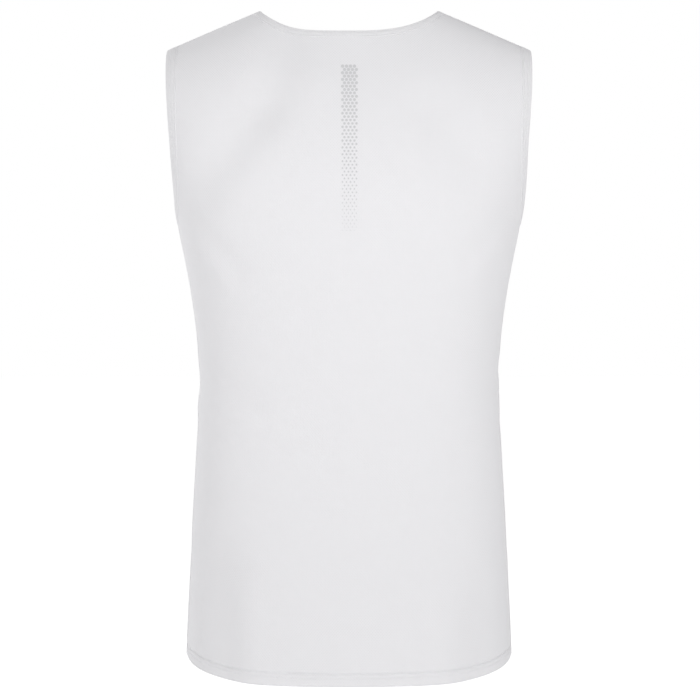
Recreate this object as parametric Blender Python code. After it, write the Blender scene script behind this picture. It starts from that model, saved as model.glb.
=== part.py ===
"""Sleeveless base layer of fine mesh knit, filled out as it is worn.

Metres, +Z up. The back of the garment faces -Y and its front +Y, so +X is the
wearer's right. The origin lies midway between the two neck points, where the
shoulder seams meet the neck, and the garment hangs below it.

A place on the cloth is a pair: turn and fall. The turn is the angle round the
body from the centre line: 0 at the centre back or front, a quarter turn at the
side seam, negative on the wearer's left. The fall is the square root of the drop
below the shoulder line, positive on the back and negative on the front, so that
the cloth rolls smoothly over the shoulder where the fall is 0.
"""

import bpy
import numpy as np

# Cut and outline
NECK_HALF_WIDTH = 0.0855        # centre to the neck point
TIP_HALF_WIDTH = 0.1769         # centre to the shoulder's outer end
SHOULDER_SLOPE = 0.435          # drop for each metre outwards
NECK_SADDLE = 0.030             # softens the shoulder line's own fold at the centre
SHOULDER_ROLL = 0.035           # drop over which the cloth turns from top to back
BACK_NECK_DIP = 0.0230
FRONT_NECK_DROP = 0.0850
BACK_NECK_FLATNESS = 2.85       # power of the neckline's curve: higher is flatter in the middle
FRONT_NECK_FLATNESS = 2.4
NECK_POINT_TURN = 0.85          # power of the neckline's rise to the neck point: lower is steeper
UNDERARM_HEIGHT = -0.1970
ARMHOLE_FLATNESS = 1.4          # power of the armhole's curve: higher is straighter up the arm
FRONT_SCOOP = np.radians(5.0)   # extra cut into the front of the armhole
HEM_SIDE_HEIGHT = -0.6276
HEM_BACK_DROP = 0.0127          # the back hem hangs lower than the sides
HEM_FRONT_DROP = 0.0040
HEM_FLATNESS = 4.6              # power of the hem's curve: higher is flatter in the middle

# Cloth and its edges
CLOTH = 0.0012                  # panel wall
TURNED_HEM = 0.0022             # wall where the hem is doubled
HEM_WIDTH = 0.0125
HEM_STEP = 0.0015               # height over which the doubled cloth ends
NECK_BAND = 0.0078
ARMHOLE_BAND = 0.0115
SEAM_GAP = 0.0003

# Section of a folded binding, round from its seam over the open edge and back inside.
# Each point lies a share of the width and a further step in from the edge, at a height
# over the cloth's outer face.
BINDING_COLUMNS = ("share", "step", "height")
BINDING = (
    (1.00, -SEAM_GAP, 0.0003),
    (0.62, 0.0, 0.0006),
    (0.28, 0.0, 0.0006),
    (0.00, 0.0005, 0.0002),
    (0.00, 0.0, -0.0007),
    (0.00, 0.0005, -0.0015),
    (0.45, 0.0, -0.0019),
    (1.00, -SEAM_GAP, -0.0017),
)

# Grid of half a panel
COLUMNS = 15                    # centre line to side seam
LOWER_ROWS = 15                 # hem to underarm
YOKE_ROWS = 13                  # underarm to shoulder seam
BACK_STRAP_ROWS = 3             # the rows beside the neck opening
FRONT_STRAP_ROWS = 6
BACK_NECK_COLUMNS = 8           # the columns below the neck opening
FRONT_NECK_COLUMNS = 6

# Sections of the filled-out garment, from below the hem up to above the shoulders
FORM_COLUMNS = ("height", "half_width", "back_depth", "front_depth", "fullness")
FORM = (
    (-0.680, 0.1600, 0.1110, 0.1000, 0.035),
    (-0.620, 0.1591, 0.1070, 0.0990, 0.035),
    (-0.570, 0.1570, 0.1010, 0.0990, 0.032),
    (-0.500, 0.1530, 0.0920, 0.1000, 0.028),
    (-0.430, 0.1488, 0.0890, 0.1010, 0.025),
    (-0.370, 0.1461, 0.0930, 0.1035, 0.025),
    (-0.320, 0.1474, 0.0990, 0.1085, 0.027),
    (-0.270, 0.1538, 0.1065, 0.1145, 0.030),
    (-0.230, 0.1613, 0.1110, 0.1175, 0.034),
    (-0.197, 0.1684, 0.1130, 0.1180, 0.035),
    (-0.165, 0.1770, 0.1125, 0.1145, 0.035),
    (-0.130, 0.1864, 0.1070, 0.1065, 0.035),
    (-0.100, 0.1956, 0.0990, 0.0960, 0.035),
    (-0.070, 0.2042, 0.0880, 0.0840, 0.035),
    (-0.045, 0.2092, 0.0770, 0.0730, 0.035),
    (-0.015, 0.2105, 0.0640, 0.0600, 0.035),
    (0.040, 0.2105, 0.0400, 0.0350, 0.035),
)

# Large soft troughs, each along a line seen square to the back or front
FOLD_COLUMNS = ("side", "x1", "z1", "x2", "z2", "breadth", "lift")
FOLDS = (
    ("back", -0.058, -0.030, -0.080, -0.095, 0.026, -0.0018),
    ("back", -0.080, -0.095, -0.140, -0.170, 0.028, -0.0024),
    ("back", 0.082, -0.100, 0.116, -0.148, 0.024, -0.0016),
    ("back", -0.128, -0.545, -0.122, -0.650, 0.024, -0.0036),
    ("back", 0.127, -0.575, 0.122, -0.650, 0.022, -0.0026),
    ("back", -0.030, -0.395, 0.055, -0.415, 0.022, -0.0014),
    ("front", -0.105, -0.205, -0.060, -0.262, 0.026, -0.0026),
    ("front", 0.112, -0.200, 0.070, -0.280, 0.024, -0.0022),
    ("front", 0.118, -0.520, 0.108, -0.650, 0.026, -0.0034),
    ("front", -0.112, -0.560, -0.104, -0.650, 0.024, -0.0028),
    ("front", 0.020, -0.575, 0.012, -0.650, 0.022, -0.0018),
    ("front", -0.066, -0.360, 0.020, -0.386, 0.022, -0.0016),
)

FOLD_FADE = 0.020               # depth either side of the side seam where a fold fades out

CLOTH_WHITE = (0.86, 0.87, 0.89, 1.0)
CLOTH_ROUGHNESS = 0.85
BAND_WHITE = (0.83, 0.84, 0.86, 1.0)
BAND_ROUGHNESS = 0.80
SHARP_EDGE = np.radians(40.0)

# Reckoning
QUARTER = 0.5 * np.pi
BACK, FRONT = 1.0, -1.0
NUDGE = 1.0e-4                  # step for slopes, in radians and in root metres
FINE = 400                      # points on an edge before it is spaced evenly
EDGE_STEP = 0.002               # longest single step when an edge is moved over the cloth
ON_LINE = 1.0e-9                # a place this near a seam line lies on it
TURN_ROUNDS = 12                # rounds of the search for a turn
LEAST_SLOPE = 0.05              # keeps that search steady at the side seam


def form(column, height):
    """Reads a column of the form table at any height, on a smooth curve through its rows."""
    rows = np.array(FORM)
    heights = rows[:, 0]
    values = rows[:, FORM_COLUMNS.index(column)]
    slopes = np.gradient(values, heights)
    low = np.clip(np.searchsorted(heights, height) - 1, 0, len(heights) - 2)
    span = heights[low + 1] - heights[low]
    part = (height - heights[low]) / span
    rise = values[low + 1] - values[low]
    blend = part * part * (3.0 - 2.0 * part)
    bend = part * (1.0 - part)
    ease = bend * (1.0 - part) * slopes[low] - bend * part * slopes[low + 1]
    return values[low] + rise * blend + span * ease


def section(turn, fullness):
    """Sideways and depthwise share of a rounded section, fuller than an ellipse."""
    across = (np.sin(turn) + fullness * np.sin(3.0 * turn)) / (1.0 - fullness)
    depth = (np.cos(turn) - fullness * np.cos(3.0 * turn)) / (1.0 - fullness)
    return across, depth


def turn_at(x, height):
    """The turn at which the section at a height reaches a sideways place."""
    fullness = form("fullness", height)
    share = x / form("half_width", height)
    turn = np.arcsin(np.clip(share, -1.0, 1.0))
    for _ in range(TURN_ROUNDS):
        slope = (np.cos(turn) + 3.0 * fullness * np.cos(3.0 * turn)) / (1.0 - fullness)
        turn = turn - (section(turn, fullness)[0] - share) / np.maximum(slope, LEAST_SLOPE)
    return turn


def shoulder_line(turn):
    """Height of the shoulder line at a turn, straight outwards of the neck point."""
    top = dict(zip(FORM_COLUMNS, FORM[-1]))
    x = top["half_width"] * section(turn, top["fullness"])[0]
    reach = np.hypot(x, NECK_SADDLE) - np.hypot(NECK_HALF_WIDTH, NECK_SADDLE)
    return -SHOULDER_SLOPE * reach


def place_at(turn, height, side):
    """The place on the back or front at a turn and a height."""
    drop = np.maximum(shoulder_line(turn) - height, 0.0)
    return np.stack([turn, side * np.sqrt(drop)], axis=-1)


def smooth_point(place):
    """The filled-out surface without folds."""
    turn, fall = place[..., 0], place[..., 1]
    drop = fall * fall
    height = shoulder_line(turn) - drop
    across, depth = section(turn, form("fullness", height))
    on_back = fall >= 0.0
    reach = np.where(on_back, -form("back_depth", height), form("front_depth", height))
    roll = np.sqrt(1.0 - np.exp(-drop / SHOULDER_ROLL))
    return np.stack([form("half_width", height) * across, reach * depth * roll, height], axis=-1)


def slopes(surface, place):
    """How a surface moves with the turn and with the fall."""
    by_turn = surface(place + (NUDGE, 0.0)) - surface(place - (NUDGE, 0.0))
    by_fall = surface(place + (0.0, NUDGE)) - surface(place - (0.0, NUDGE))
    return by_turn / (2.0 * NUDGE), by_fall / (2.0 * NUDGE)


def inward(surface, place):
    """Unit direction into the body, square to a surface."""
    normal = np.cross(*slopes(surface, place))
    return normal / np.linalg.norm(normal, axis=-1, keepdims=True)


def fold_height(point):
    """How far the folds lift the cloth at a point, each a soft line with fading ends."""
    lift = np.zeros(point.shape[:-1])
    for row in FOLDS:
        fold = dict(zip(FOLD_COLUMNS, row))
        start = np.array([fold["x1"], fold["z1"]])
        line = np.array([fold["x2"], fold["z2"]]) - start
        seen = point[..., [0, 2]] - start
        along = np.clip((seen @ line) / (line @ line), 0.0, 1.0)
        away = np.linalg.norm(seen - along[..., None] * line, axis=-1)
        facing = -1.0 if fold["side"] == "back" else 1.0
        shown = 0.5 + 0.5 * np.tanh(facing * point[..., 1] / FOLD_FADE)
        lift = lift + fold["lift"] * shown * np.exp(-(away / fold["breadth"]) ** 2)
    return lift


def cloth_point(place):
    """The outer face of the cloth, folds included."""
    point = smooth_point(place)
    return point - fold_height(point)[..., None] * inward(smooth_point, place)


def raised_point(place, height):
    """A point at a height outside the cloth's outer face, or inside it where negative."""
    height = np.broadcast_to(height, place.shape[:-1])
    return cloth_point(place) - height[..., None] * inward(cloth_point, place)


def evenly(line, count):
    """Places at even distances over the cloth along a finely drawn line."""
    steps = np.linalg.norm(np.diff(smooth_point(line), axis=0), axis=1)
    way = np.concatenate([[0.0], np.cumsum(steps)])
    stops = np.linspace(0.0, way[-1], count + 1)
    return np.stack([np.interp(stops, way, line[:, part]) for part in (0, 1)], axis=-1)


def ended_on_shoulder(line):
    """A line of places whose last one is brought exactly onto the shoulder line."""
    line[-1, 1] = 0.0
    return line


def hem_height(turn, side):
    """Height of the hem's lower edge, lowest and flat at the centre."""
    drop = HEM_BACK_DROP if side == BACK else HEM_FRONT_DROP
    return HEM_SIDE_HEIGHT - drop * (1.0 - np.sin(turn) ** HEM_FLATNESS)


def armhole_half(side, scoop):
    """Finished edge of the right armhole from the underarm up to the shoulder tip."""
    tip_turn = turn_at(np.array(TIP_HALF_WIDTH), np.array(0.0))
    rise = np.sin(np.linspace(0.0, QUARTER, FINE)) ** 2
    height = UNDERARM_HEIGHT + (shoulder_line(tip_turn) - UNDERARM_HEIGHT) * rise
    swing = np.sqrt(1.0 - (1.0 - rise) ** ARMHOLE_FLATNESS)
    turn = QUARTER - (QUARTER - tip_turn) * swing - scoop * np.sin(np.pi * rise)
    return ended_on_shoulder(evenly(place_at(turn, height, side), YOKE_ROWS))


def neck_half(side, count):
    """Finished edge of the neck from the centre out to the right neck point."""
    share = np.sin(np.linspace(0.0, QUARTER, FINE))
    drop, flatness = BACK_NECK_DIP, BACK_NECK_FLATNESS
    if side == FRONT:
        drop, flatness = FRONT_NECK_DROP, FRONT_NECK_FLATNESS
    height = -drop * (1.0 - share ** flatness) ** NECK_POINT_TURN
    turn = turn_at(NECK_HALF_WIDTH * share, height)
    return ended_on_shoulder(evenly(place_at(turn, height, side), count))


def armhole_edge():
    """The armhole's closed edge: underarm, up the back, over the tip, down the front."""
    back = armhole_half(BACK, 0.0)
    front = armhole_half(FRONT, FRONT_SCOOP)
    return np.concatenate([back, front[-2:0:-1]])


def neck_edge():
    """The neck's closed edge: right neck point, round the back, left, round the front."""
    back = neck_half(BACK, BACK_NECK_COLUMNS + BACK_STRAP_ROWS)
    front = neck_half(FRONT, FRONT_NECK_COLUMNS + FRONT_STRAP_ROWS)
    across = (-1.0, 1.0)
    return np.concatenate([back[::-1], back[1:] * across, front[-2::-1] * across, front[1:-1]])


def moved_in(edge, width):
    """A closed edge moved over the cloth by a width, square to itself, off its opening."""
    place = edge.copy()
    steps = max(1, int(np.ceil(width / EDGE_STEP)))
    over_shoulder = np.abs(edge[:, 1]) < ON_LINE
    at_side = np.abs(np.abs(edge[:, 0]) - QUARTER) < ON_LINE
    for _ in range(steps):
        point = smooth_point(place)
        along = np.roll(point, -1, axis=0) - np.roll(point, 1, axis=0)
        across = np.cross(along, inward(smooth_point, place))
        across *= width / steps / np.linalg.norm(across, axis=1, keepdims=True)
        both = np.stack(slopes(smooth_point, place), axis=-1)
        turned = np.swapaxes(both, 1, 2)
        step = np.linalg.solve(turned @ both, turned @ across[..., None])[..., 0]
        place = place + step
        place[at_side, 0] = edge[at_side, 0]
        place[over_shoulder, 1] = 0.0
    return place


def filled(bottom, top, left, right):
    """Places over a four-sided block, blended from its edges."""
    across = np.linspace(0.0, 1.0, len(bottom))[None, :, None]
    up = np.linspace(0.0, 1.0, len(left))[:, None, None]
    sideways = (1.0 - across) * left[:, None] + across * right[:, None]
    upright = (1.0 - up) * bottom[None] + up * top[None]
    low = (1.0 - across) * bottom[0] + across * bottom[-1]
    high = (1.0 - across) * top[0] + across * top[-1]
    return sideways + upright - (1.0 - up) * low - up * high


def between(start, end, count):
    """Evenly spaced places from one place to another."""
    part = np.linspace(0.0, 1.0, count + 1)[:, None]
    return (1.0 - part) * start + part * end


def half_panel(side, armhole_seam, neck_seam, strap_rows):
    """Places of half a panel, rows from the hem up and columns from the centre out.

    Returns the places and which cells hold cloth: the cells over the neck opening don't.
    """
    neck_columns = len(neck_seam) - 1 - strap_rows
    turn = np.linspace(0.0, QUARTER, COLUMNS + 1)
    hem = hem_height(turn, side)
    underarm = smooth_point(armhole_seam[0])[2]
    climb = np.linspace(0.0, 1.0, LOWER_ROWS + 1)[1:, None]
    hem_top = hem + HEM_WIDTH
    height = np.vstack([hem, hem_top - HEM_STEP, hem_top, hem_top + (underarm - hem_top) * climb])
    lower = place_at(np.broadcast_to(turn, height.shape), height, side)

    middle_rows = YOKE_ROWS - strap_rows
    corner = neck_seam[neck_columns]
    sill = between(corner, armhole_seam[middle_rows], COLUMNS - neck_columns)
    top = np.concatenate([neck_seam[:neck_columns], sill])
    centre = between(lower[-1, 0], neck_seam[0], middle_rows)
    middle = filled(lower[-1], top, centre, armhole_seam[:middle_rows + 1])
    ridge = between(neck_seam[-1], armhole_seam[-1], COLUMNS - neck_columns)
    strap = filled(sill, ridge, neck_seam[neck_columns:], armhole_seam[middle_rows:])

    hole = np.repeat(strap[:, :1], neck_columns, axis=1)
    places = np.concatenate([lower, middle[1:], np.concatenate([hole, strap], axis=1)[1:]])
    cloth = np.ones((len(places) - 1, COLUMNS), dtype=bool)
    cloth[-strap_rows:, :neck_columns] = False
    return places, cloth


def kept_apart(places, side):
    """Holds the panel back by half a seam gap at the side and shoulder seams."""
    by_turn, by_fall = slopes(smooth_point, places)
    half_gap = 0.5 * SEAM_GAP
    side_stop = QUARTER - half_gap / np.linalg.norm(by_turn, axis=-1)
    top_stop = half_gap / np.linalg.norm(by_fall, axis=-1)
    turn = np.minimum(places[..., 0], side_stop)
    fall = side * np.maximum(np.abs(places[..., 1]), top_stop)
    return np.stack([turn, fall], axis=-1)


def solid(name, points, faces, material):
    """A named object from points and faces, shaded smooth between its sharp edges."""
    mesh = bpy.data.meshes.new(name)
    mesh.from_pydata(points.tolist(), [], faces.tolist())
    mesh.materials.append(material)
    mesh.shade_smooth()
    mesh.set_sharp_from_angle(angle=SHARP_EDGE)
    piece = bpy.data.objects.new(name, mesh)
    garment.objects.link(piece)


def wall(name, outer, inner, cloth, material):
    """A closed wall between two grids, over the cells that hold cloth, rimmed all round."""
    index = np.arange(cloth.size + sum(cloth.shape) + 1).reshape(outer.shape[:2])
    corners = [index[:-1, :-1], index[:-1, 1:], index[1:, 1:], index[1:, :-1]]
    front = np.stack(corners, axis=-1)[cloth]
    start, end = front.ravel(), np.roll(front, -1, axis=1).ravel()
    paired = np.isin(start * index.size + end, end * index.size + start)
    start, end = start[~paired], end[~paired]
    rim = np.stack([end, start, start + index.size, end + index.size], axis=-1)
    faces = np.concatenate([front, front[:, ::-1] + index.size, rim])
    points = np.concatenate([outer.reshape(-1, 3), inner.reshape(-1, 3)])
    used, faces = np.unique(faces, return_inverse=True)
    solid(name, points[used], faces.reshape(-1, 4), material)


def panel(name, side, armhole_seam, neck_seam, strap_rows, material):
    """The back or the front, in one piece from hem to shoulder seams."""
    places, cloth = half_panel(side, armhole_seam, neck_seam, strap_rows)
    places = kept_apart(places, side)
    places = np.concatenate([places[:, :0:-1] * (-1.0, 1.0), places], axis=1)
    cloth = np.concatenate([cloth[:, ::-1], cloth], axis=1)
    thick = np.full(places.shape[:2], CLOTH)
    thick[:2] = TURNED_HEM
    outer = cloth_point(places)
    inner = raised_point(places, -thick)
    if side == FRONT:
        outer, inner, cloth = outer[:, ::-1], inner[:, ::-1], cloth[:, ::-1]
    wall(name, outer, inner, cloth, material)


def band(name, edge, width, mirror, material):
    """A folded binding round an opening: its section carried along the edge."""
    loops = []
    for row in BINDING:
        point = dict(zip(BINDING_COLUMNS, row))
        place = moved_in(edge, point["share"] * width + point["step"])
        loops.append(raised_point(place * (mirror, 1.0), point["height"]))
    loops = np.stack(loops[::int(mirror)])
    index = np.arange(loops.shape[0] * loops.shape[1]).reshape(loops.shape[:2])
    beside = np.roll(index, -1, axis=0)
    beyond = np.roll(beside, -1, axis=1)
    ahead = np.roll(index, -1, axis=1)
    faces = np.stack([index, beside, beyond, ahead], axis=-1).reshape(-1, 4)
    solid(name, loops.reshape(-1, 3), faces, material)


def knit(name, colour, roughness):
    """Plain matt knit."""
    material = bpy.data.materials.new(name)
    material.use_nodes = True
    shader = material.node_tree.nodes["Principled BSDF"]
    shader.inputs["Base Color"].default_value = colour
    shader.inputs["Roughness"].default_value = roughness
    shader.inputs["Metallic"].default_value = 0.0
    return material


for leftover in list(bpy.data.objects):
    bpy.data.objects.remove(leftover, do_unlink=True)
garment = bpy.data.collections.new("base_layer")
bpy.context.scene.collection.children.link(garment)

mesh_knit = knit("mesh_knit", CLOTH_WHITE, CLOTH_ROUGHNESS)
binding_knit = knit("binding_knit", BAND_WHITE, BAND_ROUGHNESS)

armhole = armhole_edge()
neck = neck_edge()
armhole_seam = moved_in(armhole, ARMHOLE_BAND)
neck_seam = moved_in(neck, NECK_BAND)
back_stations = BACK_NECK_COLUMNS + BACK_STRAP_ROWS
front_stations = FRONT_NECK_COLUMNS + FRONT_STRAP_ROWS
back_neck = neck_seam[back_stations::-1]
front_neck = np.roll(neck_seam, -1, axis=0)[-1 - front_stations:]
back_arm = armhole_seam[:YOKE_ROWS + 1]
front_arm = np.roll(armhole_seam, -1, axis=0)[::-1][:YOKE_ROWS + 1]
front_arm[0, 1] = -front_arm[0, 1]     # the underarm point, shared with the back

panel("back_panel", BACK, back_arm, back_neck, BACK_STRAP_ROWS, mesh_knit)
panel("front_panel", FRONT, front_arm, front_neck, FRONT_STRAP_ROWS, mesh_knit)
band("neck_binding", neck, NECK_BAND, 1.0, binding_knit)
band("armhole_binding_right", armhole, ARMHOLE_BAND, 1.0, binding_knit)
band("armhole_binding_left", armhole, ARMHOLE_BAND, -1.0, binding_knit)
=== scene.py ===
# A sleeveless base layer of fine white mesh knit, filled out with no wearer, seen from behind.
# Every length is in metres. The cloth is thin shells on the forms of the frame's solids.
import math

import bpy
import numpy as np
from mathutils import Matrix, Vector


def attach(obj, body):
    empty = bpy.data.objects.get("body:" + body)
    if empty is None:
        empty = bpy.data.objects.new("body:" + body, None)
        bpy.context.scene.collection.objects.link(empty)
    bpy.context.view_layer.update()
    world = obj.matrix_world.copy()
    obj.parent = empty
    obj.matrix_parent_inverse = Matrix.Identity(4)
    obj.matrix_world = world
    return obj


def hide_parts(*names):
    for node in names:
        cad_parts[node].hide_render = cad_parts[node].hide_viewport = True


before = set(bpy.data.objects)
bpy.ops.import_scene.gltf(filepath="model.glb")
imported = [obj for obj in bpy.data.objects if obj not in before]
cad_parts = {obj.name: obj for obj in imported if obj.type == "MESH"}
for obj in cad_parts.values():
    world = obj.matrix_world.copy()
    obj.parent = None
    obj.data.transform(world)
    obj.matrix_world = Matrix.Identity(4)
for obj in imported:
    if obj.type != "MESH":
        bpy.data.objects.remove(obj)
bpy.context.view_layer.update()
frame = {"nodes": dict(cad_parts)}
print("frame: " + ", ".join(frame["nodes"]))

quarter = math.pi / 2
sides = {"back": 1.0, "front": -1.0}
hands = {"right": 1, "left": -1}    # the left half is the right one with its turn reversed

# the garment's cut
cut = {
    "neckHalfWidth": 0.0855,
    "tipHalfWidth": 0.1769,
    "shoulderSlope": 0.435,         # drop for each metre outwards
    "neckSaddle": 0.030,            # softens the shoulder line at the centre
    "shoulderRoll": 0.035,          # drop over which the cloth turns from top to back
    "neckDrop": {"back": 0.0230, "front": 0.0850},
    "neckFlatness": {"back": 2.85, "front": 2.4},
    "neckPointTurn": 0.85,
    "underarmHeight": -0.1970,
    "waistHeight": -0.3700,         # where lengths up the cloth are counted from
    "armholeFlatness": 1.4,
    "scoop": {"back": 0.0, "front": math.radians(5.0)},
    "hemSideHeight": -0.6276,
    "hemDrop": {"back": 0.0127, "front": 0.0040},
    "hemFlatness": 4.6,
    "hemWidth": 0.0125,
    "neckBand": 0.0078,
    "armholeBand": 0.0115,
}

# sections of the filled-out garment, one column for each height
bodyForm = {
    "height": (-.680, -.620, -.570, -.500, -.430, -.370, -.320, -.270, -.230,
               -.197, -.165, -.130, -.100, -.070, -.045, -.015, .040),
    "halfWidth": (.1600, .1591, .1570, .1530, .1488, .1461, .1474, .1538, .1613,
                  .1684, .1770, .1864, .1956, .2042, .2092, .2105, .2105),
    "backDepth": (.1110, .1070, .1010, .0920, .0890, .0930, .0990, .1065, .1110,
                  .1130, .1125, .1070, .0990, .0880, .0770, .0640, .0400),
    "frontDepth": (.1000, .0990, .0990, .1000, .1010, .1035, .1085, .1145, .1175,
                   .1180, .1145, .1065, .0960, .0840, .0730, .0600, .0350),
    "fullness": (.035, .035, .032, .028, .025, .025, .027, .030, .034,
                 .035, .035, .035, .035, .035, .035, .035, .035),
}

# soft troughs (lift below 0) and ridges, each along a line seen square to the back or front
creases = {
    "columns": ("side", "x1", "z1", "x2", "z2", "breadth", "lift"),
    "rows": (
        # the large ones, which the solids have too
        ("back", -0.058, -0.030, -0.080, -0.095, 0.025, -0.0032),
        ("back", -0.080, -0.095, -0.140, -0.170, 0.026, -0.0044),
        ("back", 0.082, -0.100, 0.116, -0.148, 0.023, -0.0030),
        ("back", -0.128, -0.530, -0.124, -0.650, 0.025, -0.0052),
        ("back", 0.128, -0.565, 0.124, -0.650, 0.023, -0.0044),
        ("back", -0.030, -0.395, 0.055, -0.415, 0.022, -0.0016),
        ("front", -0.105, -0.205, -0.060, -0.262, 0.026, -0.0040),
        ("front", 0.112, -0.200, 0.070, -0.280, 0.024, -0.0036),
        ("front", 0.118, -0.520, 0.108, -0.650, 0.026, -0.0048),
        ("front", -0.112, -0.560, -0.104, -0.650, 0.024, -0.0042),
        ("front", 0.020, -0.575, 0.012, -0.650, 0.022, -0.0032),
        ("front", -0.066, -0.360, 0.020, -0.386, 0.022, -0.0030),
        # finer ones on the back: shoulder, underarms, waist and hem
        ("back", -0.040, -0.075, -0.105, -0.178, 0.020, 0.0010),
        ("back", -0.152, -0.200, -0.104, -0.250, 0.010, -0.0016),
        ("back", -0.148, -0.218, -0.112, -0.270, 0.009, 0.0008),
        ("back", 0.152, -0.198, 0.112, -0.236, 0.010, -0.0014),
        ("back", 0.146, -0.216, 0.118, -0.258, 0.009, 0.0008),
        ("back", -0.140, -0.350, -0.088, -0.374, 0.011, -0.0015),
        ("back", -0.138, -0.374, -0.096, -0.394, 0.010, 0.0008),
        ("back", 0.142, -0.368, 0.096, -0.384, 0.010, -0.0014),
        ("back", 0.140, -0.388, 0.104, -0.405, 0.008, 0.0007),
        ("back", 0.138, -0.404, 0.100, -0.428, 0.009, -0.0010),
        ("back", -0.096, -0.560, -0.092, -0.650, 0.016, 0.0014),
        ("back", 0.046, -0.612, 0.048, -0.650, 0.014, -0.0009),
        ("back", 0.096, -0.590, 0.092, -0.650, 0.015, 0.0010),
        # finer ones on the front
        ("front", -0.152, -0.196, -0.104, -0.246, 0.010, -0.0030),
        ("front", -0.148, -0.215, -0.108, -0.270, 0.010, 0.0019),
        ("front", -0.142, -0.240, -0.114, -0.294, 0.010, -0.0017),
        ("front", 0.150, -0.200, 0.106, -0.260, 0.011, -0.0029),
        ("front", 0.146, -0.222, 0.112, -0.282, 0.010, 0.0017),
        ("front", 0.142, -0.246, 0.120, -0.300, 0.009, -0.0016),
        ("front", 0.092, -0.056, 0.122, -0.128, 0.014, -0.0025),
        ("front", 0.076, -0.082, 0.100, -0.146, 0.013, 0.0013),
        ("front", -0.096, -0.064, -0.122, -0.124, 0.013, -0.0022),
        ("front", -0.062, -0.112, -0.016, -0.134, 0.012, -0.0014),
        ("front", 0.056, -0.118, 0.020, -0.142, 0.012, -0.0013),
        ("front", -0.142, -0.362, -0.080, -0.345, 0.011, -0.0028),
        ("front", -0.140, -0.386, -0.090, -0.371, 0.010, 0.0016),
        ("front", -0.138, -0.404, -0.096, -0.398, 0.009, -0.0016),
        ("front", 0.142, -0.346, 0.086, -0.375, 0.011, -0.0028),
        ("front", 0.140, -0.370, 0.098, -0.394, 0.010, 0.0016),
        ("front", 0.138, -0.397, 0.100, -0.414, 0.009, -0.0017),
        ("front", -0.078, -0.580, -0.072, -0.650, 0.015, 0.0022),
        ("front", -0.048, -0.600, -0.050, -0.650, 0.013, -0.0019),
        ("front", 0.072, -0.560, 0.066, -0.650, 0.016, 0.0023),
        ("front", 0.046, -0.605, 0.044, -0.650, 0.012, -0.0014),
    ),
    "fade": 0.020,                  # depth either side of the side seam where they fade out
}

# the knit gathers a little along its seams: soft ripples that die away from the seam line
puckers = {
    "hem": {"lift": 0.00028, "reach": 0.0095, "waves": (0.0131, 0.0192, 0.0473)},
    "armhole": {"lift": 0.00022, "reach": 0.0075, "waves": (0.0118, 0.0171, 0.0410)},
    "neck": {"lift": 0.00018, "reach": 0.0060, "waves": (0.0109, 0.0157, 0.0385)},
    "side": {"lift": 0.00026, "reach": 0.0080, "waves": (0.0146, 0.0213, 0.0520)},
    "shares": (0.62, 0.38),         # of the first and second wave
    "starts": (0.7, 2.1, 1.3),      # where in its turn each wave starts
    "fading": (0.7, 0.3),           # the even part, and the part that the third wave swings
    "hemStart": {"back": 0.0, "front": 0.4},    # so that the two hems ripple differently
    "sideRadius": 0.11,             # makes a length of a turn near the side seam
}


def formAt(column, height):
    # a smooth curve through the form's values: between two heights the step eases in and
    # out, bent by the slopes at both
    heights = np.array(bodyForm["height"])
    values = np.array(bodyForm[column])
    slopes = np.gradient(values, heights)
    low = np.clip(np.searchsorted(heights, height) - 1, 0, len(heights) - 2)
    span = heights[low + 1] - heights[low]
    part = (height - heights[low]) / span
    bend = part * (1 - part)
    ease = bend * (1 - part) * slopes[low] - bend * part * slopes[low + 1]
    rise = (values[low + 1] - values[low]) * part * part * (3 - 2 * part)
    return values[low] + rise + span * ease


def sectionShare(turn, fullness):
    # an ellipse filled out at its corners: sine plus a little of the sine of three times the
    # turn, and the same with cosines
    across = (np.sin(turn) + fullness * np.sin(3 * turn)) / (1 - fullness)
    depth = (np.cos(turn) - fullness * np.cos(3 * turn)) / (1 - fullness)
    return across, depth


def turnAt(x, height, steps=12, leastSlope=0.05):
    # the turn whose section reaches a sideways place, by steps of the miss over the slope
    fullness = formAt("fullness", height)
    share = x / formAt("halfWidth", height)
    turn = np.arcsin(np.clip(share, -1, 1))
    for _ in range(steps):
        slope = (np.cos(turn) + 3 * fullness * np.cos(3 * turn)) / (1 - fullness)
        turn = turn - (sectionShare(turn, fullness)[0] - share) / np.maximum(slope, leastSlope)
    return turn


def shoulderLine(turn):
    # straight down and out from the neck point, rounded over at the centre
    x = bodyForm["halfWidth"][-1] * sectionShare(turn, bodyForm["fullness"][-1])[0]
    neckReach = math.hypot(cut["neckHalfWidth"], cut["neckSaddle"])
    return -cut["shoulderSlope"] * (np.hypot(x, cut["neckSaddle"]) - neckReach)


def placeAt(turn, height, side):
    # a place is a turn and a fall, the root of the drop under the shoulder line, below 0 in front
    drop = np.maximum(shoulderLine(turn) - height, 0)
    return np.stack([turn, sides[side] * np.sqrt(drop)], axis=-1)


def heightOf(place):
    # the shoulder line's height less the square of the fall
    return shoulderLine(place[..., 0]) - place[..., 1] ** 2


def smoothPoint(place):
    # the section's point at the place's height, its depth rolling in towards the shoulder line
    turn, fall = place[..., 0], place[..., 1]
    height = heightOf(place)
    across, depth = sectionShare(turn, formAt("fullness", height))
    reach = np.where(fall >= 0, -formAt("backDepth", height), formAt("frontDepth", height))
    roll = np.sqrt(1 - np.exp(-fall * fall / cut["shoulderRoll"]))
    return np.stack([formAt("halfWidth", height) * across, reach * depth * roll, height], axis=-1)


def slopesOf(surface, place, step=1e-4):
    # a surface's change along turn and along fall, from a small step either way
    byTurn = surface(place + (step, 0)) - surface(place - (step, 0))
    byFall = surface(place + (0, step)) - surface(place - (0, step))
    return byTurn / (2 * step), byFall / (2 * step)


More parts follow.
